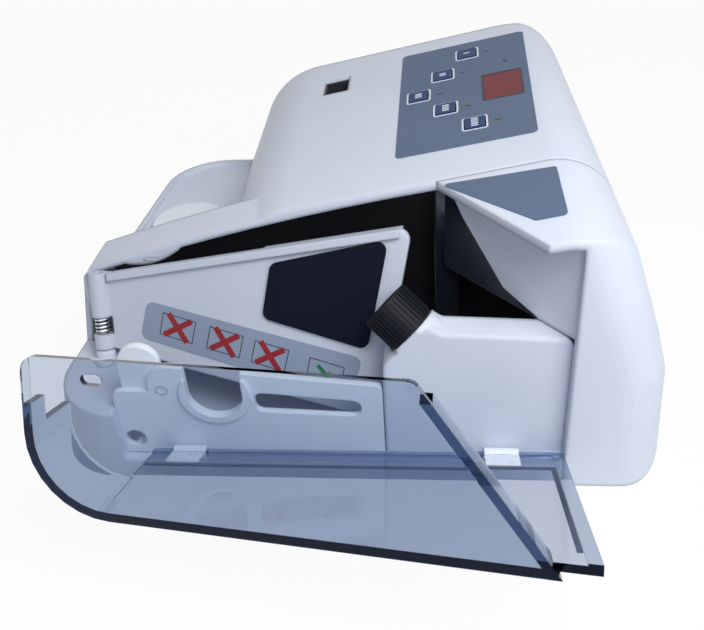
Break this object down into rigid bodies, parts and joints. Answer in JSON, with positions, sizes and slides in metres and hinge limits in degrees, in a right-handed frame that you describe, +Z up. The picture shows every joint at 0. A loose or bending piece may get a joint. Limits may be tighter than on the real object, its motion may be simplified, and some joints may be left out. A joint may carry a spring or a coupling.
{
  "type": "banknote counter",
  "caption": "Portable banknote counter: low sloping housing with a leaning note bay, sprung paddle, rubber feed roller, keypad with red display and a hinged smoke-tinted front cover.",
  "frame": {"origin": "centre of the bounding box at the table, under the feet", "axes": "+X from the low left end to the tall right end with the keypad, +Y from the open cover to the back, +Z up"},
  "size_m": [0.2276, 0.245, 0.1154],
  "materials": {
    "shell_abs": "fine moulded texture",
    "liner_black": "matte",
    "label_slate": "printed film, satin",
    "window_red": "tinted, polished",
    "board_parts": "solder mask",
    "light_lens": "clear dark lens",
    "socket_black": "moulded",
    "post_smoke": "dark translucent",
    "key_navy": "satin keycap",
    "cover_smoke": "smoke tinted, polished",
    "pin_steel": "bright drawn wire",
    "pad_rubber": "smooth friction rubber",
    "paddle_print": "printed film",
    "roller_rubber": "fine ribs",
    "bush_brass": "turned",
    "foot_rubber": "matte"
  },
  "bodies": {
    "housing": {"base_tray": "shell_abs", "rear_housing": "shell_abs", "front_shell": "shell_abs", "roller_block": "shell_abs", "front_guard": "shell_abs", "deck_cap": "shell_abs", "hinge_clips": "shell_abs", "hinge_boss": "shell_abs", "bay_liner": "liner_black", "control_label": "label_slate", "corner_label": "label_slate", "display_window": "window_red", "display_module": "board_parts", "circuit_board": "board_parts", "indicator_lights": "light_lens", "data_socket": "socket_black", "sensor_post": "post_smoke", "paddle_pin": "pin_steel", "base_screws": "pin_steel", "roller_bush": "bush_brass", "rubber_feet": "foot_rubber"},
    "cover": {"cover": "cover_smoke"},
    "paddle": {"paddle": "shell_abs", "paddle_pad": "pad_rubber", "paddle_label": "paddle_print", "paddle_spring": "pin_steel"},
    "roller": {"feed_roller": "roller_rubber", "roller_shaft": "pin_steel"},
    "key_1": {"key_1": "key_navy"},
    "key_2": {"key_2": "key_navy"},
    "key_3": {"key_3": "key_navy"},
    "key_4": {"key_4": "key_navy"},
    "key_5": {"key_5": "key_navy"}
  },
  "joints": [
    {"name": "cover_hinge", "type": "hinge", "parent": "housing", "child": "cover", "pos_m": [0, -0.04121, 0.0146], "axis": [1, 0, 0], "range_deg": [-65, 0]},
    {"name": "paddle_hinge", "type": "hinge", "parent": "housing", "child": "paddle", "pos_m": [-0.09422, -0.00351, 0.0531], "axis": [0, 0.342, 0.9397], "range_deg": [0, 5], "stiffness_Nm_per_rad": 0.3},
    {"name": "roller_spin", "type": "hinge", "parent": "housing", "child": "roller", "pos_m": [0.02566, -0.02975, 0.06276], "axis": [-0.7266, 0.3283, 0.6035], "continuous": true},
    {"name": "key_1_press", "type": "slide", "parent": "housing", "child": "key_1", "axis": [0.196, 0.0684, -0.9782], "range_m": [0, 0.0005], "stiffness_N_per_m": 300},
    {"name": "key_2_press", "type": "slide", "parent": "housing", "child": "key_2", "axis": [0.196, 0.0684, -0.9782], "range_m": [0, 0.0005], "stiffness_N_per_m": 300},
    {"name": "key_3_press", "type": "slide", "parent": "housing", "child": "key_3", "axis": [0.196, 0.0684, -0.9782], "range_m": [0, 0.0005], "stiffness_N_per_m": 300},
    {"name": "key_4_press", "type": "slide", "parent": "housing", "child": "key_4", "axis": [0.196, 0.0684, -0.9782], "range_m": [0, 0.0005], "stiffness_N_per_m": 300},
    {"name": "key_5_press", "type": "slide", "parent": "housing", "child": "key_5", "axis": [0.196, 0.0684, -0.9782], "range_m": [0, 0.0005], "stiffness_N_per_m": 300}
  ]
}
